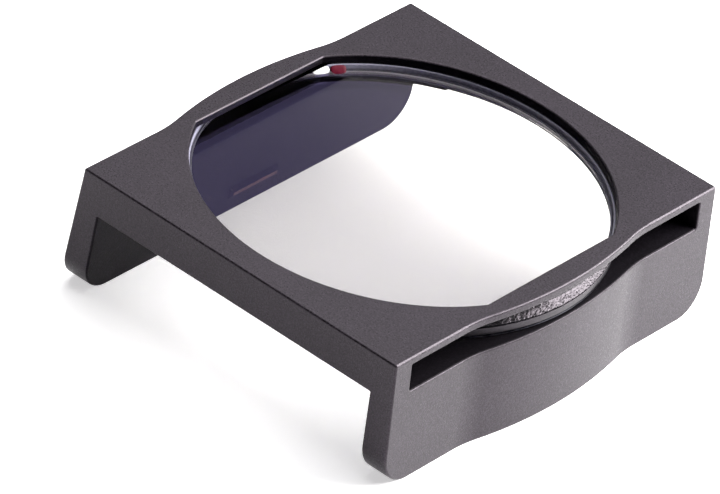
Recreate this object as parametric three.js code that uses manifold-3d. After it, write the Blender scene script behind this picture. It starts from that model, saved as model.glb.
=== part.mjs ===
// Clip-on polarising lens cover for a small box-shaped camera.
// A moulded frame with two side legs clips over the camera; a thumb ring that holds the
// polariser turns inside it and is reached through a long slot in each leg.
// Units are millimetres. +Z is up, out of the front of the cover. X runs across the two legs
// and Y along them. The origin is the middle of the plane that the legs stand on.

import * as THREE from 'three';
import { mergeVertices } from 'three/addons/utils/BufferGeometryUtils.js';
import Module from 'manifold-3d';

const wasm = await Module();
wasm.setup();

// ---------------------------------------------------------------- driving dimensions

const HEIGHT = 16.5;             // front face to the ends of the legs
const LENGTH = 57;               // along the legs
const WIDTH = 46.8;              // across the front face, at its straight stretches
const BOW_RISE = 1.65;           // how far each long side swells out in the middle
const BOW_RADIUS = 62;           // the swelling itself
const BOW_FILLET = 20;           // the hollow curve that leads into it
const OUTER_FLARE = 1.25;        // outward lean of a leg's outer face over the whole height
const INNER_FLARE = 0.7;         // the same for its inner face
const LEG_GAP = 40.5;            // between the legs, at the front face
const LEG_CORNER = 4.2;          // rounding of each leg's lower corners

const BEZEL = 1.05;              // wall in front of the thumb ring
const SLAB = 5.1;                // front face to the face that rests on the camera
const SLOT_FLOOR = 4.5;          // front face to the lower edge of the slots
const SLOT_LENGTH = 51.1;        // also the width of the ring's pocket
const APERTURE_RADIUS = 24.6;
const APERTURE_FLAT = 21.95;     // half the width between the aperture's two flats
const APERTURE_CORNER = 0.7;

const KEEPER_CLEARANCE = 0.3;
const KEEPER_GAP = 0.05;         // keeper to the ledge that it sits on
const KEEPER_REACH = 27.1;       // from the middle of the cover to a keeper's outer edge
const KEEPER_CURVE = 26.2;       // radius of a keeper's hollow inner edge
const PEG_RADIUS = 0.45;
const PEG_HOLE_RADIUS = 0.6;
const PEG_X = 14;
const PEG_Y = 26.35;
const PEG_ROOT = 3.6;            // depth at which the pegs grow out of the end walls
const GUIDE_X = 12;              // where each corner guide starts, from the middle
const GUIDE_SIDE_GAP = 0.65;     // corner guide to the leg's inner face
const GUIDE_END_GAP = 0.2;       // corner guide to the pocket's end wall
const RUNNING_CLEARANCE = 0.3;   // corner guide to the rim of the ring

const RING_TOP = 1.15;           // depths below the front face
const RING_BOTTOM = 3.9;
const RING_RADIUS = 25.15;       // over the ribs of the thumb ring
const RIB_COUNT = 90;
const RIB_DEPTH = 0.16;
const CELL_BORE = 24.38;         // the lens cell is the hoop inside the thumb ring
const CELL_WALL = 0.25;
const CELL_LIP_BORE = 24.1;      // inward lip that carries the rear glass
const CELL_LIP = 0.15;
const CELL_FLANGE = 0.85;        // outward flange that carries the thumb ring
const CELL_FLANGE_INSET = 0.05;
const SLEEVE_GAP = 0.06;         // thumb ring to lens cell

const LENS_RADIUS = 24.32;
const FRONT_GLASS = [1.9, 2.75];
const POLARISING_FILM = [2.79, 2.91];
const QUARTER_WAVE_FILM = [2.95, 3.07];
const REAR_GLASS = [3.11, 3.71];
const CLIP_RING = [1.68, 1.86];
const CLIP_RING_BORE = 24.06;
const CLIP_RING_SPLIT = 0.06;    // half of the gap between its ends, in radians

const WASHER_DEPTH = 4.2;
const WASHER_THICKNESS = 0.15;
const WASHER_WAVE = 0.09;
const WASHER_WAVES = 4;
const WASHER_BORE = 24.6;
const WASHER_RADIUS = 25.05;

const CATCH_LENGTH = 8.4;
const CATCH_PROUD = 0.45;
const CATCH_TOP = 12.7;          // depths below the front face
const CATCH_APEX = 13.6;
const CATCH_BOTTOM = 14.4;
const CATCH_ROOT = 0.5;          // how deep the catch is rooted in the leg

const MARK_DEPTHS = [1.18, 1.65];
const MARK_THICKNESS = 0.06;
const MARK_GAP = 0.03;
const WHITE_MARK = [151.3, 156.5]; // degrees round the ring from +X
const RED_MARK = [146.4, 151];

const ROUND = 72;                // facets round the ring and its glass
const BOW_FACETS = 14;
const APERTURE_FACETS = 24;
const CORNER_FACETS = 10;
const PEG_FACETS = 16;
const MARK_FACETS = 6;
const OVERRUN = 1;               // how far a cutting solid passes the faces that it cuts

// ---------------------------------------------------------------- materials

function plastic(color, roughness) {
  return new THREE.MeshStandardMaterial({ color, roughness, metalness: 0 });
}

function clear(color, opacity) {
  return new THREE.MeshStandardMaterial({ color, roughness: 0.05, metalness: 0, transparent: true, opacity });
}

const charcoalPlastic = plastic(0x47454a, 0.6);
const darkPlastic = plastic(0x2c2b2f, 0.6);
const ringPlastic = plastic(0x5a5660, 0.45);
const springSteel = new THREE.MeshStandardMaterial({ color: 0x9a9a9e, roughness: 0.35, metalness: 1 });
const clipSteel = new THREE.MeshStandardMaterial({ color: 0x8c8a92, roughness: 0.3, metalness: 1 });
const opticalGlass = clear(0xe8e8f4, 0.3);
const polariserFilm = clear(0x8c8a9c, 0.45);
const retarderFilm = clear(0xd8d8e6, 0.3);
const whitePaint = plastic(0xf2f2f0, 0.5);
const redPaint = plastic(0x8a1430, 0.5);

// ---------------------------------------------------------------- solids

function solidFrom(geometry) {
  geometry.deleteAttribute('normal');
  geometry.deleteAttribute('uv');
  const merged = mergeVertices(geometry, 1e-5);
  const triVerts = Uint32Array.from(merged.index.array);
  const vertProperties = Float32Array.from(merged.attributes.position.array);
  return new wasm.Manifold(new wasm.Mesh({ numProp: 3, vertProperties, triVerts }));
}

function geometryFrom(solid) {
  const mesh = solid.getMesh();
  const geometry = new THREE.BufferGeometry();
  geometry.setAttribute('position', new THREE.BufferAttribute(Float32Array.from(mesh.vertProperties), 3));
  geometry.setIndex(new THREE.BufferAttribute(Uint32Array.from(mesh.triVerts), 1));
  geometry.computeVertexNormals();
  return geometry;
}

// height above the leg ends of a point at a depth below the front face
function atDepth(depth) {
  return HEIGHT - depth;
}

function prismZ(shape, bottom, top, segments = 12) {
  const geometry = new THREE.ExtrudeGeometry(shape, {
    depth: top - bottom, bevelEnabled: false, curveSegments: segments,
  });
  return geometry.translate(0, 0, bottom);
}

// the shape's first axis becomes Y and its second Z
function prismX(shape, start, end, segments = 12) {
  const geometry = new THREE.ExtrudeGeometry(shape, {
    depth: end - start, bevelEnabled: false, curveSegments: segments,
  });
  const basis = new THREE.Matrix4().makeBasis(
    new THREE.Vector3(0, 1, 0),
    new THREE.Vector3(0, 0, 1),
    new THREE.Vector3(1, 0, 0),
  );
  return geometry.applyMatrix4(basis).translate(start, 0, 0);
}

// the shape's first axis becomes X and its second Z
function prismY(shape, start, end) {
  const geometry = new THREE.ExtrudeGeometry(shape, { depth: end - start, bevelEnabled: false });
  return geometry.rotateX(Math.PI / 2).translate(0, end, 0);
}

function box(x, y, lowZ, highZ) {
  const geometry = new THREE.BoxGeometry(x, y, highZ - lowZ);
  return solidFrom(geometry.translate(0, 0, (lowZ + highZ) / 2));
}

function polygon(points) {
  return new THREE.Shape(points.map(([x, y]) => new THREE.Vector2(x, y)));
}

// a flat ring between two depths
function annulus(outer, bore, topDepth, bottomDepth) {
  const shape = new THREE.Shape();
  shape.absarc(0, 0, outer, 0, 2 * Math.PI, false);
  const hole = new THREE.Path();
  hole.absarc(0, 0, bore, 0, 2 * Math.PI, true);
  shape.holes.push(hole);
  return prismZ(shape, atDepth(bottomDepth), atDepth(topDepth), ROUND);
}

function disc(radius, topDepth, bottomDepth) {
  const geometry = new THREE.CylinderGeometry(radius, radius, bottomDepth - topDepth, ROUND);
  return geometry.rotateX(Math.PI / 2).translate(0, 0, atDepth((topDepth + bottomDepth) / 2));
}

// part of a ring between two angles in radians
function arcPiece(outer, bore, startAngle, endAngle, topDepth, bottomDepth, segments) {
  const shape = new THREE.Shape();
  shape.absarc(0, 0, outer, startAngle, endAngle, false);
  shape.absarc(0, 0, bore, endAngle, startAngle, true);
  shape.closePath();
  return prismZ(shape, atDepth(bottomDepth), atDepth(topDepth), segments);
}

// ---------------------------------------------------------------- frame

// rectangle whose two long sides swell out in the middle
function frontOutline() {
  const halfWidth = WIDTH / 2;
  const halfLength = LENGTH / 2;
  const centres = BOW_RADIUS + BOW_FILLET;
  const filletY = Math.sqrt(2 * BOW_RISE * centres - BOW_RISE ** 2);
  const angle = Math.atan2(filletY, centres - BOW_RISE);
  const bowX = halfWidth + BOW_RISE - BOW_RADIUS;
  const filletX = halfWidth + BOW_FILLET;
  const shape = new THREE.Shape();
  shape.moveTo(halfWidth, -halfLength);
  shape.lineTo(halfWidth, -filletY);
  shape.absarc(filletX, -filletY, BOW_FILLET, Math.PI, Math.PI - angle, true);
  shape.absarc(bowX, 0, BOW_RADIUS, -angle, angle, false);
  shape.absarc(filletX, filletY, BOW_FILLET, Math.PI + angle, Math.PI, true);
  shape.lineTo(halfWidth, halfLength);
  shape.lineTo(-halfWidth, halfLength);
  shape.absarc(-filletX, filletY, BOW_FILLET, 0, -angle, true);
  shape.absarc(-bowX, 0, BOW_RADIUS, Math.PI - angle, Math.PI + angle, false);
  shape.absarc(-filletX, -filletY, BOW_FILLET, angle, 0, true);
  shape.lineTo(-halfWidth, -halfLength);
  shape.closePath();
  return shape;
}

// the outline over the full height, its sides leaning out towards the leg ends
function flaredBlock() {
  const geometry = prismZ(frontOutline(), 0, HEIGHT, BOW_FACETS);
  const position = geometry.attributes.position;
  for (let i = 0; i < position.count; i += 1) {
    const depth = HEIGHT - position.getZ(i);
    const x = position.getX(i);
    position.setX(i, x + Math.sign(x) * OUTER_FLARE * (depth / HEIGHT));
  }
  return solidFrom(geometry);
}

function legInnerX(depth) {
  return LEG_GAP / 2 + INNER_FLARE * (depth / HEIGHT);
}

// the space that the camera body fills
function cameraChannel() {
  const bottomDepth = HEIGHT + OVERRUN;
  const shape = polygon([
    [-legInnerX(bottomDepth), atDepth(bottomDepth)],
    [legInnerX(bottomDepth), atDepth(bottomDepth)],
    [legInnerX(SLAB), atDepth(SLAB)],
    [-legInnerX(SLAB), atDepth(SLAB)],
  ]);
  return solidFrom(prismY(shape, -LENGTH / 2 - OVERRUN, LENGTH / 2 + OVERRUN));
}

// a circle cut off by two flats that run along the legs
function apertureShape(radius, flat, corner) {
  const cornerX = flat - corner;
  const cornerY = Math.sqrt((radius - corner) ** 2 - cornerX ** 2);
  const angle = Math.atan2(cornerY, cornerX);
  const shape = new THREE.Shape();
  shape.absarc(0, 0, radius, angle, Math.PI - angle, false);
  shape.absarc(-cornerX, cornerY, corner, Math.PI - angle, Math.PI, false);
  shape.absarc(-cornerX, -cornerY, corner, Math.PI, Math.PI + angle, false);
  shape.absarc(0, 0, radius, Math.PI + angle, 2 * Math.PI - angle, false);
  shape.absarc(cornerX, -cornerY, corner, -angle, 0, false);
  shape.absarc(cornerX, cornerY, corner, 0, angle, false);
  shape.closePath();
  return shape;
}

// the waste outside the rounding of one lower corner of both legs
function cornerWaste(side) {
  const end = side * LENGTH / 2;
  const shape = new THREE.Shape();
  const centre = side * (LENGTH / 2 - LEG_CORNER);
  shape.moveTo(end + side * OVERRUN, LEG_CORNER);
  shape.lineTo(end, LEG_CORNER);
  if (side > 0) {
    shape.absarc(centre, LEG_CORNER, LEG_CORNER, 0, -Math.PI / 2, true);
  } else {
    shape.absarc(centre, LEG_CORNER, LEG_CORNER, Math.PI, Math.PI * 1.5, false);
  }
  shape.lineTo(centre, -OVERRUN);
  shape.lineTo(end + side * OVERRUN, -OVERRUN);
  shape.closePath();
  return solidFrom(prismX(shape, -WIDTH, WIDTH, CORNER_FACETS));
}

// a low bead inside the leg that snaps behind the camera body
function snapCatch(side) {
  const shape = polygon([
    [side * (legInnerX(CATCH_BOTTOM) + CATCH_ROOT), atDepth(CATCH_BOTTOM)],
    [side * (legInnerX(CATCH_TOP) + CATCH_ROOT), atDepth(CATCH_TOP)],
    [side * legInnerX(CATCH_TOP), atDepth(CATCH_TOP)],
    [side * (legInnerX(CATCH_APEX) - CATCH_PROUD), atDepth(CATCH_APEX)],
    [side * legInnerX(CATCH_BOTTOM), atDepth(CATCH_BOTTOM)],
  ]);
  return solidFrom(prismY(shape, -CATCH_LENGTH / 2, CATCH_LENGTH / 2));
}

function pegPlaces() {
  const places = [];
  for (const x of [-PEG_X, PEG_X]) {
    for (const y of [-PEG_Y, PEG_Y]) {
      places.push([x, y]);
    }
  }
  return places;
}

function pegColumn(x, y, radius, topDepth, bottomDepth) {
  const geometry = new THREE.CylinderGeometry(radius, radius, bottomDepth - topDepth, PEG_FACETS);
  geometry.rotateX(Math.PI / 2);
  return solidFrom(geometry.translate(x, y, atDepth((topDepth + bottomDepth) / 2)));
}

function clipFrame() {
  const aperture = prismZ(
    apertureShape(APERTURE_RADIUS, APERTURE_FLAT, APERTURE_CORNER),
    atDepth(BEZEL + OVERRUN), HEIGHT + OVERRUN, APERTURE_FACETS,
  );
  const keeperRecess = box(LEG_GAP, 2 * (KEEPER_REACH + KEEPER_CLEARANCE),
    atDepth(SLAB + OVERRUN), atDepth(SLOT_FLOOR - KEEPER_GAP));
  const pegs = pegPlaces().map(([x, y]) => pegColumn(x, y, PEG_RADIUS, PEG_ROOT, SLAB));
  const frame = flaredBlock()
    .subtract(cameraChannel())
    .subtract(box(2 * WIDTH, SLOT_LENGTH, atDepth(SLOT_FLOOR), atDepth(BEZEL)))
    .subtract(keeperRecess)
    .subtract(solidFrom(aperture))
    .subtract(cornerWaste(1))
    .subtract(cornerWaste(-1))
    .add(snapCatch(1))
    .add(snapCatch(-1));
  return geometryFrom(pegs.reduce((whole, peg) => whole.add(peg), frame));
}

// ---------------------------------------------------------------- ring keepers

// a post that fills one corner of the pocket and steadies the rim of the ring
function cornerGuide() {
  const inner = RING_RADIUS + RUNNING_CLEARANCE;
  const farX = LEG_GAP / 2 - GUIDE_SIDE_GAP;
  const farY = SLOT_LENGTH / 2 - GUIDE_END_GAP;
  const shape = new THREE.Shape();
  shape.moveTo(farX, farY);
  shape.lineTo(GUIDE_X, farY);
  shape.absarc(0, 0, inner, Math.acos(GUIDE_X / inner), Math.acos(farX / inner), true);
  shape.closePath();
  return solidFrom(prismZ(shape, atDepth(SLAB), atDepth(BEZEL + KEEPER_CLEARANCE), CORNER_FACETS));
}

// the strip at one end of the cover that closes the pocket, with a corner guide at each side
function ringKeeper(side) {
  const width = LEG_GAP - 2 * KEEPER_CLEARANCE;
  const hollow = new THREE.CylinderGeometry(KEEPER_CURVE, KEEPER_CURVE, 2 * SLAB, 2 * ROUND);
  const half = box(width, KEEPER_REACH, atDepth(SLAB), atDepth(SLOT_FLOOR))
    .translate([0, KEEPER_REACH / 2, 0]);
  let keeper = half.subtract(solidFrom(hollow.rotateX(Math.PI / 2).translate(0, 0, atDepth(SLAB))));
  for (const [x, y] of pegPlaces().filter((place) => place[1] > 0)) {
    keeper = keeper.subtract(pegColumn(x, y, PEG_HOLE_RADIUS, SLOT_FLOOR - OVERRUN, SLAB + OVERRUN));
  }
  keeper = keeper.add(cornerGuide()).add(cornerGuide().mirror([1, 0, 0]));
  return geometryFrom(side > 0 ? keeper : keeper.mirror([0, 1, 0]));
}

// ---------------------------------------------------------------- thumb ring

function ribbedOutline() {
  const points = [];
  for (let rib = 0; rib < RIB_COUNT; rib += 1) {
    for (const [share, radius] of [[0, RING_RADIUS], [0.5, RING_RADIUS - RIB_DEPTH]]) {
      const angle = (2 * Math.PI * (rib + share)) / RIB_COUNT;
      points.push([radius * Math.cos(angle), radius * Math.sin(angle)]);
    }
  }
  return polygon(points);
}

// the ribbed sleeve that the fingers turn
function thumbRing() {
  const shape = ribbedOutline();
  const hole = new THREE.Path();
  hole.absarc(0, 0, CELL_BORE + CELL_WALL + SLEEVE_GAP, 0, 2 * Math.PI, true);
  shape.holes.push(hole);
  return prismZ(shape, atDepth(RING_BOTTOM - CELL_FLANGE - SLEEVE_GAP), atDepth(RING_TOP), ROUND);
}

// the hoop that holds the glass, with a lip inside it and a flange outside
function lensCell() {
  const hoop = CELL_BORE + CELL_WALL;
  const flange = RING_RADIUS - CELL_FLANGE_INSET;
  const flangeTop = atDepth(RING_BOTTOM - CELL_FLANGE);
  const section = [
    [CELL_LIP_BORE, atDepth(RING_BOTTOM)],
    [flange, atDepth(RING_BOTTOM)],
    [flange, flangeTop],
    [hoop, flangeTop],
    [hoop, atDepth(RING_TOP)],
    [CELL_BORE, atDepth(RING_TOP)],
    [CELL_BORE, atDepth(RING_BOTTOM - CELL_LIP)],
    [CELL_LIP_BORE, atDepth(RING_BOTTOM - CELL_LIP)],
    [CELL_LIP_BORE, atDepth(RING_BOTTOM)],
  ];
  const geometry = new THREE.LatheGeometry(section.map(([r, z]) => new THREE.Vector2(r, z)), ROUND);
  return geometry.rotateX(Math.PI / 2);
}

// a split spring-steel ring that snaps in over the front glass
function lensClipRing() {
  return arcPiece(LENS_RADIUS, CLIP_RING_BORE, CLIP_RING_SPLIT, 2 * Math.PI - CLIP_RING_SPLIT,
    CLIP_RING[0], CLIP_RING[1], ROUND);
}

function indexMark([startDegrees, endDegrees]) {
  const outer = CELL_BORE - MARK_GAP;
  return arcPiece(outer, outer - MARK_THICKNESS,
    THREE.MathUtils.degToRad(startDegrees), THREE.MathUtils.degToRad(endDegrees),
    MARK_DEPTHS[0], MARK_DEPTHS[1], MARK_FACETS);
}

// a thin ring, waved so that it presses the thumb ring lightly against the bezel
function waveWasher() {
  const half = WASHER_THICKNESS / 2;
  const geometry = annulus(WASHER_RADIUS, WASHER_BORE, WASHER_DEPTH - half, WASHER_DEPTH + half);
  const position = geometry.attributes.position;
  for (let i = 0; i < position.count; i += 1) {
    const angle = Math.atan2(position.getY(i), position.getX(i));
    position.setZ(i, position.getZ(i) + WASHER_WAVE * Math.cos(WASHER_WAVES * angle));
  }
  geometry.computeVertexNormals();
  return geometry;
}

// ---------------------------------------------------------------- assembly

function part(name, geometry, material) {
  const mesh = new THREE.Mesh(geometry, material);
  mesh.name = name;
  return mesh;
}

const housing = new THREE.Group();
housing.add(part('clip_frame', clipFrame(), charcoalPlastic));
housing.add(part('ring_keeper_low_y', ringKeeper(-1), darkPlastic));
housing.add(part('ring_keeper_high_y', ringKeeper(1), darkPlastic));
housing.add(part('wave_washer', waveWasher(), springSteel));

const turningRing = new THREE.Group();
turningRing.add(part('thumb_ring', thumbRing(), ringPlastic));
turningRing.add(part('lens_cell', lensCell(), ringPlastic));
turningRing.add(part('lens_clip_ring', lensClipRing(), clipSteel));
turningRing.add(part('front_glass', disc(LENS_RADIUS, ...FRONT_GLASS), opticalGlass));
turningRing.add(part('polarising_film', disc(LENS_RADIUS, ...POLARISING_FILM), polariserFilm));
turningRing.add(part('quarter_wave_film', disc(LENS_RADIUS, ...QUARTER_WAVE_FILM), retarderFilm));
turningRing.add(part('rear_glass', disc(LENS_RADIUS, ...REAR_GLASS), opticalGlass));
turningRing.add(part('white_index_mark', indexMark(WHITE_MARK), whitePaint));
turningRing.add(part('red_index_mark', indexMark(RED_MARK), redPaint));

const lensCover = new THREE.Group();
lensCover.add(housing, turningRing);

export default lensCover;
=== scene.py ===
"""Looks of the clip-on polarising lens cover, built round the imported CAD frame.

Pieces are modelled in millimetres in the part's own frame and scaled to metres when they are
finished. Depths are measured down from the front face.
"""

import math

import bmesh
import bpy
from mathutils import Matrix, Vector


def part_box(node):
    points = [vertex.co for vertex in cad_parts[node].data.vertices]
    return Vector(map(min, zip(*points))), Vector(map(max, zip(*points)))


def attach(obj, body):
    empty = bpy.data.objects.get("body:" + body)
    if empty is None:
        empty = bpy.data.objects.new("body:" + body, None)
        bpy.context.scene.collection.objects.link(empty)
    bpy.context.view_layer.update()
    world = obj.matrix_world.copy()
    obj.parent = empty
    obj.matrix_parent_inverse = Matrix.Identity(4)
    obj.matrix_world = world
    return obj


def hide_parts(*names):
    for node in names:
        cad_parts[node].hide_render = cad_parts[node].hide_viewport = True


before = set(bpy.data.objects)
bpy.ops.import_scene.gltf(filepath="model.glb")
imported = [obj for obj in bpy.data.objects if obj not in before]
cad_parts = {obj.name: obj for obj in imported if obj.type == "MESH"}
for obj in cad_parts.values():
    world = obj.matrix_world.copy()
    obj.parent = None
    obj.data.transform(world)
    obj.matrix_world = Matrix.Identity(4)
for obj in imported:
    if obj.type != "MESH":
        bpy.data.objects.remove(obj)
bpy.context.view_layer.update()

MM = 0.001


def node_box(name):
    """Lowest and highest corner of a CAD node, in millimetres."""
    low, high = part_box(name)
    return low / MM, high / MM


# ------------------------------------------------------------------ dimensions, millimetres

frame_low, frame_high = node_box("clip_frame")
ring_low, ring_high = node_box("thumb_ring")
cell_low, cell_high = node_box("lens_cell")
clip_low, clip_high = node_box("lens_clip_ring")

HEIGHT = frame_high.z
LENGTH = frame_high.y - frame_low.y
SLAB = HEIGHT - node_box("ring_keeper_high_y")[0].z

# Outline: each long side swells out in an arc, with a fillet at both its ends.
OUTER_FLARE = 1.25
BOW_RISE = 1.65
BOW_RADIUS = 62.0
BOW_FILLET = 20.0
HALF_WIDTH = frame_high.x - OUTER_FLARE - BOW_RISE

# Channel between the legs, and the rounding of their lower corners.
LEG_GAP = 40.5
INNER_FLARE = 0.7
LEG_CORNER = 4.2

# Ring pocket, open through both legs, and the window in the front wall.
BEZEL = 1.05
SLOT_FLOOR = 4.5
SLOT_LENGTH = 51.1
KEEPER_POCKET_LENGTH = 54.8
APERTURE_RADIUS = 24.6
APERTURE_FLAT = 21.95
APERTURE_CORNER = 0.7

# Snap catches inside the legs; the land is the narrow face that rubs, and it carries a reddish-brown
# painted highlight.
CATCH_LENGTH = 8.4
CATCH_PROUD = 0.45
CATCH_TOP = 12.7
CATCH_APEX = 13.6
CATCH_BOTTOM = 14.4
CATCH_LAND = 0.46
CATCH_ROOT = 0.5
CATCH_END_SLOPE = 0.35

# Pegs that hold the keepers.
PEG_RADIUS = 0.45
PEG_X = 14.0
PEG_Y = 26.35
PEG_ROOT = 3.6

FRAME_FILLET = 0.27
FRAME_FILLET_STEPS = 4
POCKET_FILLET_SHARE = 0.4
OVERRUN = 1.0


def height_at(depth):
    """Height above the leg ends of a point at a depth below the front face."""
    return HEIGHT - depth


# ------------------------------------------------------------------ mesh helpers

SAME_POINT = 1e-5
MERGE = 1e-4
SHARP_ANGLE = 28
FLAT_ANGLE = 0.05


def arc(cx, cy, radius, start, end, steps):
    """Points along an arc, both ends included."""
    points = []
    for i in range(steps + 1):
        angle = start + (end - start) * i / steps
        points.append((cx + radius * math.cos(angle), cy + radius * math.sin(angle)))
    return points


def without_repeats(points):
    """Leaves out each point that lies on the one before it."""
    kept = []
    for p in points:
        if not kept or math.dist(p, kept[-1]) > SAME_POINT:
            kept.append(p)
    if math.dist(kept[0], kept[-1]) < SAME_POINT:
        kept.pop()
    return kept


def prism(points, low, high, place):
    """A closed bmesh prism; place(u, v, w) turns outline and height into a point."""
    points = without_repeats(points)
    bm = bmesh.new()
    bottom = [bm.verts.new(place(u, v, low)) for u, v in points]
    top = [bm.verts.new(place(u, v, high)) for u, v in points]
    bm.faces.new(bottom)
    bm.faces.new(top)
    for i in range(len(points)):
        j = (i + 1) % len(points)
        bm.faces.new((bottom[i], bottom[j], top[j], top[i]))
    bmesh.ops.recalc_face_normals(bm, faces=bm.faces)
    return bm


def upright(u, v, w):
    """Outline seen from above, pulled up."""
    return (u, v, w)


def along_x(u, v, w):
    """Outline in Y and Z, pulled along X."""
    return (w, u, v)


def along_y(u, v, w):
    """Outline in X and Z, pulled along Y."""
    return (u, w, v)


def block(low, high):
    """A box between two corners."""
    outline = [(low[0], low[1]), (high[0], low[1]), (high[0], high[1]), (low[0], high[1])]
    return prism(outline, low[2], high[2], upright)


def object_from(bm, name):
    """A scene object holding the mesh, which is then freed."""
    mesh = bpy.data.meshes.new(name)
    bm.to_mesh(mesh)
    bm.free()
    obj = bpy.data.objects.new(name, mesh)
    bpy.context.scene.collection.objects.link(obj)
    return obj


def apply_modifiers(obj):
    """Puts the result of every modifier into the mesh."""
    bpy.context.view_layer.update()
    evaluated = obj.evaluated_get(bpy.context.evaluated_depsgraph_get())
    mesh = bpy.data.meshes.new_from_object(evaluated)
    obj.modifiers.clear()
    old = obj.data
    obj.data = mesh
    bpy.data.meshes.remove(old)


def combine(obj, bm, operation):
    """Boolean of obj with the solid in bm."""
    other = object_from(bm, "cutter")
    modifier = obj.modifiers.new("boolean", "BOOLEAN")
    modifier.operation = operation
    modifier.solver = "EXACT"
    modifier.object = other
    apply_modifiers(obj)
    mesh = other.data
    bpy.data.objects.remove(other)
    bpy.data.meshes.remove(mesh)


def clean(obj):
    """Merges double points and dissolves edges in flat faces."""
    bm = bmesh.new()
    bm.from_mesh(obj.data)
    bmesh.ops.remove_doubles(bm, verts=bm.verts, dist=MERGE)
    bmesh.ops.dissolve_limit(
        bm, angle_limit=math.radians(FLAT_ANGLE), verts=bm.verts, edges=bm.edges,
        use_dissolve_boundaries=False,
    )
    bm.to_mesh(obj.data)
    bm.free()


def round_edges(obj, width, weight_of, segments):
    """Fillets every sharp edge; weight_of(edge) is its share of width."""
    bm = bmesh.new()
    bm.from_mesh(obj.data)
    layer = bm.edges.layers.float.new("bevel_weight_edge")
    for edge in bm.edges:
        sharp = len(edge.link_faces) == 2 and edge.calc_face_angle(0.0) > math.radians(SHARP_ANGLE)
        edge[layer] = weight_of(edge) if sharp else 0.0
    bm.to_mesh(obj.data)
    bm.free()
    modifier = obj.modifiers.new("fillet", "BEVEL")
    modifier.limit_method = "WEIGHT"
    modifier.width = width
    modifier.segments = segments
    modifier.profile = 0.5
    modifier.use_clamp_overlap = False
    modifier.harden_normals = False
    modifier.miter_outer = "MITER_ARC"
    apply_modifiers(obj)


def shade(obj, angle=SHARP_ANGLE):
    """Smooth shading, with creases where faces meet at more than angle degrees."""
    mesh = obj.data
    mesh.polygons.foreach_set("use_smooth", [True] * len(mesh.polygons))
    mesh.set_sharp_from_angle(angle=math.radians(angle))
    modifier = obj.modifiers.new("normals", "WEIGHTED_NORMAL")
    modifier.keep_sharp = True
    modifier.weight = 80
    apply_modifiers(obj)


def finish_piece(obj, body, nodes, material, others=(), choose=None):
    """Puts a finished piece on its body; choose(centre, normal) picks the material of a face."""
    obj.data.materials.clear()
    for entry in (material, *others):
        obj.data.materials.append(entry)
    for face in obj.data.polygons:
        face.material_index = choose(face.center, face.normal) if choose else 0
    obj.data.transform(Matrix.Scale(MM, 4))
    obj.data.update()
    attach(obj, body)
    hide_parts(*nodes)


def lathe(section, steps, start=0.0, end=2 * math.pi):
    """Turns a closed section of (radius, height) points about Z."""
    closed = abs(end - start - 2 * math.pi) < SAME_POINT
    bm = bmesh.new()
    rows = steps if closed else steps + 1
    rings = []
    for i in range(rows):
        angle = start + (end - start) * i / steps
        c, s = math.cos(angle), math.sin(angle)
        rings.append([bm.verts.new((r * c, r * s, z)) for r, z in section])
    count = len(section)
    for i in range(steps):
        a, b = rings[i], rings[(i + 1) % rows]
        for k in range(count):
            m = (k + 1) % count
            bm.faces.new((a[k], b[k], b[m], a[m]))
    if not closed:
        bm.faces.new(rings[0])
        bm.faces.new(rings[-1])
    bmesh.ops.recalc_face_normals(bm, faces=bm.faces)
    return bm


def rounded_section(points, radius, steps=3):
    """Rounds every corner of a closed section of (radius, height) points."""
    rounded = []
    count = len(points)
    for i in range(count):
        before, here, after = (Vector(points[(i + d) % count]) for d in (-1, 0, 1))
        to_before, to_after = (before - here), (after - here)
        reach = min(radius, to_before.length * 0.45, to_after.length * 0.45)
        start = here + to_before.normalized() * reach
        end = here + to_after.normalized() * reach
        for k in range(steps + 1):
            t = k / steps
            rounded.append(tuple((1 - t) ** 2 * start + 2 * t * (1 - t) * here + t * t * end))
    return rounded


# ------------------------------------------------------------------ materials

GRAIN_SCALE = 4600.0
GLINT_SCALE = 0.8 * GRAIN_SCALE
CLOUD_SCALE = 90.0
CLOUD_SHARE = 0.12
PLASTIC_IOR = 1.5
PLASTIC_TINT = (1.0, 0.87, 1.0, 1.0)
STREAK_SCALE = 1800.0
STEEL_ROUGHNESS = 0.3
PAINT_SCALE = 2600.0
SMUDGE_SCALE = 160.0
FILM_SCALE = 40.0


def new_material(name):
    """A material with one Principled shader, and its node tree."""
    material = bpy.data.materials.new(name)
    material.use_nodes = True
    tree = material.node_tree
    tree.nodes.clear()
    output = tree.nodes.new("ShaderNodeOutputMaterial")
    shader = tree.nodes.new("ShaderNodeBsdfPrincipled")
    tree.links.new(shader.outputs["BSDF"], output.inputs["Surface"])
    return material, tree, shader


def coordinates(tree):
    """Place on the object, in metres."""
    node = tree.nodes.new("ShaderNodeTexCoord")
    return node.outputs["Object"]


def noise(tree, source, scale, detail, roughness):
    node = tree.nodes.new("ShaderNodeTexNoise")
    node.inputs["Scale"].default_value = scale
    node.inputs["Detail"].default_value = detail
    node.inputs["Roughness"].default_value = roughness
    tree.links.new(source, node.inputs["Vector"])
    return node.outputs["Fac"]


def cells(tree, source, scale):
    """Distance to the nearest of many scattered points."""
    node = tree.nodes.new("ShaderNodeTexVoronoi")
    node.inputs["Scale"].default_value = scale
    tree.links.new(source, node.inputs["Vector"])
    return node.outputs["Distance"]


def ramp(tree, source, stops):
    """Turns a value into a colour or a grey, by stops of (position, value)."""
    node = tree.nodes.new("ShaderNodeValToRGB")
    elements = node.color_ramp.elements
    while len(elements) < len(stops):
        elements.new(0.5)
    for element, (position, value) in zip(elements, stops):
        element.position = position
        colour = value if isinstance(value, tuple) else (value, value, value)
        element.color = (*colour, 1.0)
    tree.links.new(source, node.inputs["Fac"])
    return node.outputs["Color"]


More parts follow.
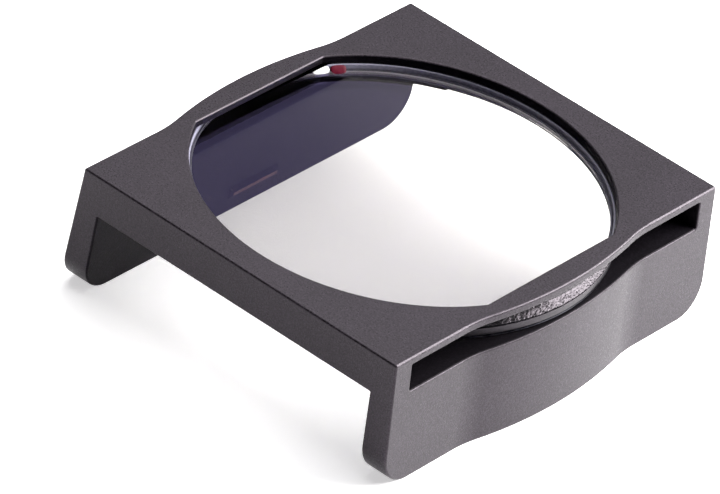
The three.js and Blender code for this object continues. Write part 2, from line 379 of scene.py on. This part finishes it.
def bump(tree, source, strength, distance):
    node = tree.nodes.new("ShaderNodeBump")
    node.inputs["Strength"].default_value = strength
    node.inputs["Distance"].default_value = distance
    tree.links.new(source, node.inputs["Height"])
    return node.outputs["Normal"]


def moulded_plastic(name, dark, light, gloss, rough_low, rough_high):
    """Spark-textured moulded plastic: light and dark grains, glints and a faint cloudiness."""
    material, tree, shader = new_material(name)
    place = coordinates(tree)
    fine = noise(tree, place, GRAIN_SCALE, 2.0, 0.7)
    clouds = noise(tree, place, CLOUD_SCALE, 3.0, 0.5)
    mixed = tree.nodes.new("ShaderNodeMix")
    mixed.data_type = "FLOAT"
    mixed.inputs[0].default_value = CLOUD_SHARE
    tree.links.new(fine, mixed.inputs[2])
    tree.links.new(clouds, mixed.inputs[3])
    colour = ramp(tree, mixed.outputs[0], [(0.42, dark), (0.66, light)])
    tree.links.new(colour, shader.inputs["Base Color"])
    shader.inputs["Specular IOR Level"].default_value = gloss
    glints = cells(tree, place, GLINT_SCALE)
    rough = ramp(tree, glints, [(0.05, rough_low), (0.4, rough_high)])
    tree.links.new(rough, shader.inputs["Roughness"])
    normal = bump(tree, fine, 0.6, 3.0e-5)
    tree.links.new(normal, shader.inputs["Normal"])
    shader.inputs["IOR"].default_value = PLASTIC_IOR
    shader.inputs["Specular Tint"].default_value = PLASTIC_TINT
    return material


charcoal = moulded_plastic(
    "charcoal_moulded_plastic", (0.001, 0.0005, 0.0012), (0.022, 0.0175, 0.0242), 0.28, 0.16, 0.4)
# Darker, duller copy of the charcoal plastic: painted shade on the inner faces of the legs and under the
# slab.
inner_leg_shade = moulded_plastic(
    "inner_leg_shaded_plastic", (0.0008, 0.0005, 0.0012), (0.009, 0.007, 0.011), 0.07, 0.3, 0.45)
# Near-black, nearly glossless copy of the plastic: painted shade in the ring pocket and on the window's
# wall.
pocket_shade = moulded_plastic(
    "pocket_shaded_plastic", (0.001, 0.0008, 0.0012), (0.005, 0.004, 0.006), 0.06, 0.4, 0.55)
rim_plastic = moulded_plastic(
    "rim_plastic", (0.003, 0.003, 0.0035), (0.026, 0.025, 0.028), 0.3, 0.2, 0.36)
flange_plastic = moulded_plastic(
    "flange_plastic", (0.004, 0.004, 0.005), (0.014, 0.0135, 0.016), 0.3, 0.3, 0.42)
# Reddish-brown plastic on the catch land: a painted highlight of the catch's lit edge.
catch_land_highlight = moulded_plastic(
    "catch_land_highlight_plastic", (0.06, 0.016, 0.014), (0.17, 0.055, 0.05), 0.3, 0.25, 0.4)
plate_black = moulded_plastic(
    "dark_moulded_plastic", (0.006, 0.005, 0.007), (0.02, 0.018, 0.022), 0.3, 0.4, 0.6)


def steel(name, dark, light):
    """Drawn steel with fine streaks."""
    material, tree, shader = new_material(name)
    place = coordinates(tree)
    shader.inputs["Metallic"].default_value = 1.0
    streaks = noise(tree, place, STREAK_SCALE, 4.0, 0.6)
    colour = ramp(tree, streaks, [(0.3, dark), (0.7, light)])
    tree.links.new(colour, shader.inputs["Base Color"])
    rough = ramp(tree, streaks, [(0.3, STEEL_ROUGHNESS), (0.7, STEEL_ROUGHNESS + 0.15)])
    tree.links.new(rough, shader.inputs["Roughness"])
    tree.links.new(bump(tree, streaks, 0.2, 1.0e-5), shader.inputs["Normal"])
    return material


spring_steel = steel("blued_spring_steel", (0.02, 0.02, 0.028), (0.06, 0.06, 0.075))
clip_steel = steel("clip_steel", (0.05, 0.048, 0.062), (0.09, 0.086, 0.11))


def paint(name, dark, light, gloss):
    """A thin coat with slight flow marks."""
    material, tree, shader = new_material(name)
    place = coordinates(tree)
    flow = noise(tree, place, PAINT_SCALE, 3.0, 0.5)
    tree.links.new(ramp(tree, flow, [(0.3, dark), (0.7, light)]), shader.inputs["Base Color"])
    tree.links.new(ramp(tree, flow, [(0.3, 0.3), (0.7, 0.45)]), shader.inputs["Roughness"])
    shader.inputs["Specular IOR Level"].default_value = gloss
    tree.links.new(bump(tree, flow, 0.2, 1.0e-5), shader.inputs["Normal"])
    return material


white_paint = paint("white_paint", (0.82, 0.82, 0.81), (0.9, 0.9, 0.89), 0.5)
# Dark red paint for the index mark; its darkness is partly the real red and partly painted shade of the
# recess it sits in.
red_paint = paint("red_paint", (0.045, 0.0003, 0.006), (0.075, 0.0008, 0.011), 0.1)
ground_edge = paint("ground_glass_edge", (0.5, 0.48, 0.55), (0.62, 0.6, 0.67), 0.2)
cell_satin = paint("satin_cell_finish", (0.17, 0.165, 0.22), (0.24, 0.23, 0.3), 0.5)


def glass(name, tint, reflection, gloss, ior):
    """Coated optical glass; a faint smudge pattern keeps its gloss from being perfect."""
    material, tree, shader = new_material(name)
    place = coordinates(tree)
    shader.inputs["Base Color"].default_value = (*tint, 1.0)
    shader.inputs["Transmission Weight"].default_value = 1.0
    shader.inputs["IOR"].default_value = ior
    shader.inputs["Specular IOR Level"].default_value = gloss
    shader.inputs["Specular Tint"].default_value = (*reflection, 1.0)
    smudges = noise(tree, place, SMUDGE_SCALE, 4.0, 0.55)
    tree.links.new(ramp(tree, smudges, [(0.35, 0.0), (0.8, 0.015)]), shader.inputs["Roughness"])
    return material


def clear_film(name, tint, tint_far):
    """A thin sheet that only tints what is behind it."""
    material = bpy.data.materials.new(name)
    material.use_nodes = True
    tree = material.node_tree
    tree.nodes.clear()
    output = tree.nodes.new("ShaderNodeOutputMaterial")
    sheet = tree.nodes.new("ShaderNodeBsdfTransparent")
    place = coordinates(tree)
    drift = noise(tree, place, FILM_SCALE, 2.0, 0.5)
    tree.links.new(ramp(tree, drift, [(0.3, tint), (0.7, tint_far)]), sheet.inputs["Color"])
    tree.links.new(sheet.outputs["BSDF"], output.inputs["Surface"])
    return material


laminate = glass("coated_laminated_glass", (0.985, 0.985, 0.99), (0.1, 0.03, 0.58), 0.2, 1.9)
polariser = clear_film("polariser_sheet", (0.76, 0.75, 0.765), (0.78, 0.77, 0.785))
retarder = clear_film("retarder_sheet", (0.985, 0.985, 0.99), (0.99, 0.99, 0.995))

# ------------------------------------------------------------------ frame

BOW_STEPS = 44
FILLET_STEPS = 11
WINDOW_STEPS = 96
WINDOW_CORNER_STEPS = 5
LEG_CORNER_STEPS = 14
PEG_STEPS = 24


def front_outline():
    """Rectangle whose two long sides swell out in the middle."""
    half_length = LENGTH / 2
    centres = BOW_RADIUS + BOW_FILLET
    fillet_y = math.sqrt(2 * BOW_RISE * centres - BOW_RISE ** 2)
    angle = math.atan2(fillet_y, centres - BOW_RISE)
    bow_x = HALF_WIDTH + BOW_RISE - BOW_RADIUS
    fillet_x = HALF_WIDTH + BOW_FILLET
    right = [(HALF_WIDTH, -half_length)]
    right += arc(fillet_x, -fillet_y, BOW_FILLET, math.pi, math.pi - angle, FILLET_STEPS)
    right += arc(bow_x, 0, BOW_RADIUS, -angle, angle, BOW_STEPS)
    right += arc(fillet_x, fillet_y, BOW_FILLET, math.pi + angle, math.pi, FILLET_STEPS)
    right += [(HALF_WIDTH, half_length)]
    return right + [(-x, y) for x, y in reversed(right)]


def aperture_outline():
    """A circle cut off by two flats that run along the legs."""
    x = APERTURE_FLAT - APERTURE_CORNER
    y = math.sqrt((APERTURE_RADIUS - APERTURE_CORNER) ** 2 - x ** 2)
    angle = math.atan2(y, x)

    def corner(cx, cy, start, end):
        return arc(cx, cy, APERTURE_CORNER, start, end, WINDOW_CORNER_STEPS)

    points = arc(0, 0, APERTURE_RADIUS, angle, math.pi - angle, WINDOW_STEPS)
    points += corner(-x, y, math.pi - angle, math.pi)
    points += corner(-x, -y, math.pi, math.pi + angle)
    points += arc(0, 0, APERTURE_RADIUS, math.pi + angle, 2 * math.pi - angle, WINDOW_STEPS)
    points += corner(x, -y, -angle, 0)
    points += corner(x, y, 0, angle)
    return points


def leg_inner_x(depth):
    """Distance of a leg's inner face from the middle, at a depth."""
    return LEG_GAP / 2 + INNER_FLARE * depth / HEIGHT


def corner_waste(side):
    """The waste outside the rounding of one lower corner of both legs."""
    end = side * LENGTH / 2
    centre = side * (LENGTH / 2 - LEG_CORNER)
    start = 0 if side > 0 else math.pi
    points = [(end + side * OVERRUN, LEG_CORNER)]
    points += arc(centre, LEG_CORNER, LEG_CORNER, start, start - side * math.pi / 2, LEG_CORNER_STEPS)
    points += [(centre, -OVERRUN), (end + side * OVERRUN, -OVERRUN)]
    return prism(points, -2 * HALF_WIDTH, 2 * HALF_WIDTH, along_x)


def snap_catch(side):
    """A wedge-shaped ridge low on the inner face of a leg, its ends sloped off."""
    land = CATCH_LAND / 2
    outline = [
        (side * (leg_inner_x(CATCH_BOTTOM) + CATCH_ROOT), height_at(CATCH_BOTTOM)),
        (side * (leg_inner_x(CATCH_TOP) + CATCH_ROOT), height_at(CATCH_TOP)),
        (side * leg_inner_x(CATCH_TOP), height_at(CATCH_TOP)),
        (side * (leg_inner_x(CATCH_APEX) - CATCH_PROUD), height_at(CATCH_APEX - land)),
        (side * (leg_inner_x(CATCH_APEX) - CATCH_PROUD), height_at(CATCH_APEX + land)),
        (side * leg_inner_x(CATCH_BOTTOM), height_at(CATCH_BOTTOM)),
    ]
    bm = prism(outline, -CATCH_LENGTH / 2, CATCH_LENGTH / 2, along_y)
    for vert in bm.verts:
        if abs(vert.co.z - height_at(CATCH_APEX)) < CATCH_LAND:
            vert.co.y -= math.copysign(CATCH_END_SLOPE, vert.co.y)
    return bm


def peg(x, y):
    """A short round peg that a keeper sits on."""
    outline = arc(x, y, PEG_RADIUS, 0, 2 * math.pi, PEG_STEPS)
    return prism(outline, height_at(SLAB), height_at(PEG_ROOT), upright)


OUTSIDE, CAMERA_SIDE, POCKET, LAND_HIGHLIGHT = range(4)
NEAR = 0.02


def frame_finish(centre, normal):
    """Which of the frame's four materials a face gets: plain plastic, two darker copies as painted shade,
    or a painted highlight on the catch land.
    """
    depth = HEIGHT - centre.z
    beside, along = abs(centre.x), abs(centre.y)
    land_x = leg_inner_x(CATCH_APEX) - CATCH_PROUD
    # The catch land gets the reddish-brown painted highlight.
    if abs(depth - CATCH_APEX) < CATCH_LAND / 2 + NEAR and beside < land_x + 0.05:
        return LAND_HIGHLIGHT
    near_window = math.hypot(centre.x, centre.y) < APERTURE_RADIUS + 0.1
    window_wall = 0.2 < depth < BEZEL + NEAR and abs(normal.z) < 0.5 and near_window
    in_slot = beside < HALF_WIDTH + BOW_RISE + OUTER_FLARE and along < SLOT_LENGTH / 2 + 0.05
    leg_outside = abs(normal.x) > 0.6 and beside > leg_inner_x(SLAB) + 0.3
    pocket = in_slot and BEZEL - NEAR < depth < SLAB + NEAR and not leg_outside
    # The ring pocket and the window's wall get the near-black copy with painted shade.
    if window_wall or pocket:
        return POCKET
    # Inner leg faces and the slab's underside get the copy with painted shade.
    facing_in = normal.x * centre.x < 0 and abs(normal.x) > 0.5
    under_slab = depth > SLAB - NEAR and beside < leg_inner_x(HEIGHT) + 0.3
    if under_slab and (facing_in or normal.z < -0.5):
        return CAMERA_SIDE
    return OUTSIDE


def build_frame():
    """The moulding: a swelling block, hollowed out, filleted, with catches and pegs added."""
    bm = prism(front_outline(), 0, HEIGHT, upright)
    for vert in bm.verts:
        lean = OUTER_FLARE * (HEIGHT - vert.co.z) / HEIGHT
        vert.co.x += math.copysign(lean, vert.co.x)
    obj = object_from(bm, "clip_frame_moulding")
    far_y = LENGTH / 2 + OVERRUN
    low_z, slab_z = height_at(HEIGHT + OVERRUN), height_at(SLAB)
    channel = [
        (-leg_inner_x(HEIGHT + OVERRUN), low_z), (leg_inner_x(HEIGHT + OVERRUN), low_z),
        (leg_inner_x(SLAB), slab_z), (-leg_inner_x(SLAB), slab_z),
    ]
    combine(obj, prism(channel, -far_y, far_y, along_y), "DIFFERENCE")
    through, half_slot = 2 * HALF_WIDTH, SLOT_LENGTH / 2
    pocket = block((-through, -half_slot, height_at(SLOT_FLOOR)), (through, half_slot, height_at(BEZEL)))
    combine(obj, pocket, "DIFFERENCE")
    beside, along = leg_inner_x(SLAB), KEEPER_POCKET_LENGTH / 2
    recess = block((-beside, -along, height_at(SLAB + OVERRUN)), (beside, along, height_at(SLOT_FLOOR)))
    combine(obj, recess, "DIFFERENCE")
    window = prism(aperture_outline(), height_at(BEZEL + OVERRUN), HEIGHT + OVERRUN, upright)
    combine(obj, window, "DIFFERENCE")
    for side in (-1, 1):
        combine(obj, corner_waste(side), "DIFFERENCE")
    clean(obj)

    def weight(edge):
        """Visible outside edges get the full fillet, edges inside the pocket a small one."""
        middle = (edge.verts[0].co + edge.verts[1].co) / 2
        depth = HEIGHT - middle.z
        inside = abs(middle.x) < HALF_WIDTH - 1.6 and BEZEL - 0.1 < depth < SLAB + 0.1
        return POCKET_FILLET_SHARE if inside else 1.0

    round_edges(obj, FRAME_FILLET, weight, FRAME_FILLET_STEPS)
    for side in (-1, 1):
        combine(obj, snap_catch(side), "UNION")
    for x in (-PEG_X, PEG_X):
        for y in (-PEG_Y, PEG_Y):
            combine(obj, peg(x, y), "UNION")
    shade(obj)
    others = (inner_leg_shade, pocket_shade, catch_land_highlight)
    finish_piece(obj, "frame", ["clip_frame"], charcoal, others, frame_finish)


build_frame()

# ------------------------------------------------------------------ thumb ring and lens cell

GRAINS = 760
GRAIN_ROWS = 7
GRAIN_LENGTH = 2
GRAIN_DEPTH = 0.22
LOWEST_GRAIN = 0.3
VALLEY_ROUGHNESS = 0.03
GROOVE = 0.22
RIM_EDGE = 0.12
RIM_EDGE_DROP = 0.08
RING_BORE = 24.69
RING_SHOULDER = 24.88

CELL_BORE = 24.38
CELL_WALL = 0.25
CELL_LIP_BORE = 24.26
CELL_LIP = 0.08
CELL_FLANGE = 0.85
CLIP_BORE = 24.06
CLIP_SPLIT = 0.06
HOOP_FILLET = 0.07
CELL_STEPS = 288
CLIP_STEPS = 280
DISC_STEPS = 256


def scatter(i, k):
    """A repeatable value between 0 and 1 for grain i of row k."""
    value = math.sin(i * 12.9898 + k * 78.233) * 43758.5453
    return value - math.floor(value)


def build_thumb_ring():
    """A sleeve whose rim is a rough grip: rows of uneven grains run round it."""
    low, top = ring_low.z, ring_high.z
    high = top - GROOVE
    around = GRAINS * 2
    root = ring_high.x - GRAIN_DEPTH
    bm = bmesh.new()

    def loop(z, radius_of):
        """One loop of points; radius_of(i) is the radius of point i."""
        verts = []
        for i in range(around):
            angle = math.pi * 2 * i / around
            r = radius_of(i)
            verts.append(bm.verts.new((r * math.cos(angle), r * math.sin(angle), z)))
        return verts

    def plain(z, radius):
        return loop(z, lambda i: radius)

    def crest(z, k):
        span = 1.0 - LOWEST_GRAIN
        return loop(z, lambda i: root + GRAIN_DEPTH * (LOWEST_GRAIN + span * scatter(i // GRAIN_LENGTH, k)))

    def valley(z, k):
        return loop(z, lambda i: root + VALLEY_ROUGHNESS * scatter(i // GRAIN_LENGTH, k))

    rows = [plain(low, root - RIM_EDGE_DROP), plain(low + RIM_EDGE, root)]
    steps = GRAIN_ROWS * 2
    for k in range(1, steps):
        z = low + RIM_EDGE + (high - low - 2 * RIM_EDGE) * k / steps
        rows.append(crest(z, k) if k % 2 else valley(z, k))
    rows += [plain(high - RIM_EDGE, root), plain(high, root - RIM_EDGE_DROP)]
    rows += [plain(high, RING_SHOULDER), plain(top, RING_SHOULDER)]
    rows += [plain(top, RING_BORE), plain(low, RING_BORE)]
    for k in range(len(rows)):
        a, b = rows[k], rows[(k + 1) % len(rows)]
        for i in range(around):
            j = (i + 1) % around
            bm.faces.new((a[i], a[j], b[j], b[i]))
    bmesh.ops.recalc_face_normals(bm, faces=bm.faces)
    obj = object_from(bm, "knurled_thumb_ring")
    shade(obj, 25)
    finish_piece(obj, "ring", ["thumb_ring"], rim_plastic)


def build_lens_cell():
    """The hoop round the glass, with a flange under the rim and a lip under the glass."""
    low, high = cell_low.z, cell_high.z
    outside = CELL_BORE + CELL_WALL
    section = [
        (CELL_LIP_BORE, low), (cell_high.x, low), (cell_high.x, low + CELL_FLANGE),
        (outside, low + CELL_FLANGE), (outside, high), (CELL_BORE, high),
        (CELL_BORE, low + CELL_LIP), (CELL_LIP_BORE, low + CELL_LIP),
    ]
    obj = object_from(lathe(rounded_section(section, HOOP_FILLET), CELL_STEPS), "lens_cell_hoop")
    shade(obj, 40)

    def outer_face(centre, normal):
        return 1 if math.hypot(centre.x, centre.y) > outside - 0.06 else 0

    finish_piece(obj, "ring", ["lens_cell"], cell_satin, (flange_plastic,), outer_face)


def build_clip_ring():
    """The split spring ring over the edge of the glass."""
    section = [
        (CLIP_BORE, clip_low.z), (clip_high.y, clip_low.z),
        (clip_high.y, clip_high.z), (CLIP_BORE, clip_high.z),
    ]
    rounded = rounded_section(section, HOOP_FILLET)
    bm = lathe(rounded, CLIP_STEPS, CLIP_SPLIT, 2 * math.pi - CLIP_SPLIT)
    obj = object_from(bm, "lens_retaining_wire")
    shade(obj, 50)
    finish_piece(obj, "ring", ["lens_clip_ring"], clip_steel)


def build_disc(name, nodes, material, edge, shrink, rim=()):
    """A disc with a chamfered edge that reaches over all its nodes; rim is the finish of its edge."""
    boxes = [node_box(n) for n in nodes]
    low = min(box[0].z for box in boxes)
    high = max(box[1].z for box in boxes)
    radius = boxes[0][1].x - shrink
    section = [
        (radius - edge, low), (radius, low + edge),
        (radius, high - edge), (radius - edge, high),
    ]
    bm = bmesh.new()
    rings = []
    for r, z in section:
        ring = []
        for i in range(DISC_STEPS):
            angle = 2 * math.pi * i / DISC_STEPS
            ring.append(bm.verts.new((r * math.cos(angle), r * math.sin(angle), z)))
        rings.append(ring)
    for a, b in zip(rings, rings[1:]):
        for i in range(DISC_STEPS):
            j = (i + 1) % DISC_STEPS
            bm.faces.new((a[i], a[j], b[j], b[i]))
    bm.faces.new(rings[0])
    bm.faces.new(rings[-1])
    bmesh.ops.recalc_face_normals(bm, faces=bm.faces)
    obj = object_from(bm, name)
    shade(obj, 30)

    def edge_face(centre, normal):
        return 1 if rim and abs(normal.z) < 0.3 else 0

    finish_piece(obj, "ring", nodes, material, rim, edge_face)


MARK_STEPS = 24
MARK_ROWS = 10
MARK_SWELL = 0.07
MARK_INSET = 0.03
WHITE_MARK_REACH = 23.8
RED_MARK_REACH = 23.55


def build_mark(name, node, material, reach):
    """A dab of paint that slopes from the top of the hoop over the wire, in to the radius reach."""
    across, up = MARK_STEPS, MARK_ROWS
    node_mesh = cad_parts[node].data
    angles = [math.atan2(v.co.y, v.co.x) for v in node_mesh.vertices]
    middle, half = (min(angles) + max(angles)) / 2, (max(angles) - min(angles)) / 2
    wall = max(math.hypot(v.co.x, v.co.y) for v in node_mesh.vertices) / MM
    foot, head = clip_low.z - MARK_INSET, cell_high.z - MARK_INSET
    slope = Vector((wall - reach, head - foot))
    outward = Vector((-slope.y, slope.x)).normalized()

    def section_point(side, u, v):
        """Radius and height of a point of the dab, u across it and v up it, each from -1 to 1."""
        tall = (1 - abs(u) ** 3) ** 0.4
        share = 0.5 + 0.5 * v * tall
        point = Vector((reach, foot)) + slope * share
        if side == "front":
            return point + outward * MARK_SWELL * (1 - u ** 4) * (1 - v ** 4)
        point.x = point.x + 0.6 * (wall - point.x)
        point.y = max(foot, point.y - 0.1 * (1 - v ** 2))
        return point

    bm = bmesh.new()
    grid = {}
    for side in ("back", "front"):
        for i in range(across + 1):
            u = 2 * i / across - 1
            angle = middle + u * half
            for k in range(up + 1):
                r, z = section_point(side, u, 2 * k / up - 1)
                grid[side, i, k] = bm.verts.new((r * math.cos(angle), r * math.sin(angle), z))
    for side in ("back", "front"):
        for i in range(across):
            for k in range(up):
                corners = [(i, k), (i + 1, k), (i + 1, k + 1), (i, k + 1)]
                bm.faces.new([grid[side, *corner] for corner in corners])
    rim = [(i, 0) for i in range(across)] + [(across, k) for k in range(up)]
    rim += [(i, up) for i in range(across, 0, -1)] + [(0, k) for k in range(up, 0, -1)]
    for a, b in zip(rim, rim[1:] + rim[:1]):
        bm.faces.new((grid["front", *a], grid["front", *b], grid["back", *b], grid["back", *a]))
    bmesh.ops.remove_doubles(bm, verts=bm.verts, dist=MERGE)
    bmesh.ops.recalc_face_normals(bm, faces=bm.faces)
    obj = object_from(bm, name)
    shade(obj, 60)
    finish_piece(obj, "ring", [node], material)


GLASS_CHAMFER = 0.06
FILM_CHAMFER = 0.01
FILM_INSET = 0.02
FILMS = (
    ("polarising_film_disc", "polarising_film", polariser, "polarising_film"),
    ("quarter_wave_film_disc", "quarter_wave_film", retarder, "retarder_film"),
)

build_thumb_ring()
build_lens_cell()
build_clip_ring()
build_disc(
    "laminated_glass", ["front_glass", "rear_glass"], laminate,
    GLASS_CHAMFER, 0.0, (ground_edge,))
for name, node, material, slot in FILMS:
    build_disc(name, [node], material, FILM_CHAMFER, FILM_INSET)
build_mark("white_mark_dab", "white_index_mark", white_paint, WHITE_MARK_REACH)
build_mark("red_mark_dab", "red_index_mark", red_paint, RED_MARK_REACH)

for node, material in (
    ("ring_keeper_low_y", plate_black),
    ("ring_keeper_high_y", plate_black),
    ("wave_washer", spring_steel),
):
    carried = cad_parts[node]
    carried.data.materials.clear()
    carried.data.materials.append(material)

# ------------------------------------------------------------------ stage

FLOOR_HALF_WIDTH = 1.5
FLOOR_SCALE = 6.0
NEAR_PAINTED_LIGHT = (0.016, 0.76)
FAR_PAINTED_LIGHT = (0.05, 0.37)


def build_floor():
    """A large pale table top whose emission paints light on it, strongest under the part, where it lifts
    the part's shadow.
    """
    bm = bmesh.new()
    bmesh.ops.create_grid(bm, x_segments=40, y_segments=40, size=FLOOR_HALF_WIDTH)
    obj = object_from(bm, "table_top")
    material, tree, shader = new_material("pale_table")
    place = coordinates(tree)
    drift = noise(tree, place, FLOOR_SCALE, 2.0, 0.5)
    pale = ramp(tree, drift, [(0.3, (0.86, 0.855, 0.865)), (0.7, (0.9, 0.895, 0.9))])
    tree.links.new(pale, shader.inputs["Base Color"])
    shader.inputs["Roughness"].default_value = 0.6
    shader.inputs["Emission Color"].default_value = (1.0, 0.99, 1.0, 1.0)
    # Emission falls off with distance from the part: a painted pool of light that lifts the shade under it.
    reach = tree.nodes.new("ShaderNodeVectorMath")
    reach.operation = "LENGTH"
    tree.links.new(place, reach.inputs[0])
    painted_light = ramp(tree, reach.outputs["Value"], [NEAR_PAINTED_LIGHT, FAR_PAINTED_LIGHT])
    tree.links.new(painted_light, shader.inputs["Emission Strength"])
    obj.data.materials.append(material)


build_floor()


def area_light(name, direction, distance, size, power, colour):
    """A round softbox aimed at the middle of the part; metres and watts."""
    light = bpy.data.lights.new(name, "AREA")
    light.shape = "DISK"
    light.size = size
    light.energy = power
    light.color = colour
    obj = bpy.data.objects.new(name, light)
    bpy.context.scene.collection.objects.link(obj)
    aim = Vector(direction).normalized()
    obj.location = aim * distance + Vector((0, 0, HEIGHT * MM / 2))
    obj.rotation_mode = "QUATERNION"
    obj.rotation_quaternion = aim.to_track_quat("Z", "Y")


area_light("back_right_softbox", (0.55, 0.75, 0.6), 0.4, 0.3, 6.6, (1.0, 0.99, 0.98))
area_light("overhead_softbox", (-0.11, 0.33, 1.0), 0.7, 0.9, 6.7, (1.0, 1.0, 1.0))


def build_world():
    """A studio that is dark on the low Y side and pale on the high Y side."""
    world = bpy.data.worlds.new("studio")
    world.use_nodes = True
    bpy.context.scene.world = world
    tree = world.node_tree
    tree.nodes.clear()
    output = tree.nodes.new("ShaderNodeOutputWorld")
    background = tree.nodes.new("ShaderNodeBackground")
    direction = tree.nodes.new("ShaderNodeTexCoord")
    parts = tree.nodes.new("ShaderNodeSeparateXYZ")
    tree.links.new(direction.outputs["Generated"], parts.inputs["Vector"])
    shift = tree.nodes.new("ShaderNodeMapRange")
    shift.inputs["From Min"].default_value = -1.0
    shift.inputs["From Max"].default_value = 1.0
    tree.links.new(parts.outputs["Y"], shift.inputs["Value"])
    sky = ramp(tree, shift.outputs["Result"], [(0.1, 0.04), (0.4, 0.13), (0.75, 0.5), (0.9, 0.62)])
    tree.links.new(sky, background.inputs["Color"])
    background.inputs["Strength"].default_value = 1.0
    tree.links.new(background.outputs["Background"], output.inputs["Surface"])


build_world()

# ------------------------------------------------------------------ camera

AZIMUTH = math.radians(34.918)
ELEVATION = math.radians(34.443)
ROLL = math.radians(10.584)
DISTANCE = 0.799615
AIM_RIGHT = -0.0049832
AIM_UP = -0.0078992
SENSOR_WIDTH = 36.0
FOCAL_LENGTH = 352.386


def build_camera():
    """A long lens at the photograph's viewing angle, turned a little about its own axis."""
    data = bpy.data.cameras.new("camera")
    data.sensor_width = SENSOR_WIDTH
    data.lens = FOCAL_LENGTH
    data.clip_start = 0.05
    data.clip_end = 20.0
    camera = bpy.data.objects.new("camera", data)
    bpy.context.scene.collection.objects.link(camera)
    back = Vector((
        math.sin(AZIMUTH) * math.cos(ELEVATION),
        -math.cos(AZIMUTH) * math.cos(ELEVATION),
        math.sin(ELEVATION),
    ))
    level = Vector((math.cos(AZIMUTH), math.sin(AZIMUTH), 0.0))
    upward = back.cross(level)
    right = math.cos(ROLL) * level + math.sin(ROLL) * upward
    up = -math.sin(ROLL) * level + math.cos(ROLL) * upward
    turn = Matrix((right, up, back)).transposed()
    place = back * DISTANCE + right * AIM_RIGHT + up * AIM_UP + Vector((0, 0, HEIGHT * MM))
    camera.matrix_world = Matrix.Translation(place) @ turn.to_4x4()
    bpy.context.scene.camera = camera


build_camera()
bpy.context.scene.view_settings.view_transform = "Standard"
bpy.context.scene.cycles.transparent_max_bounces = 24
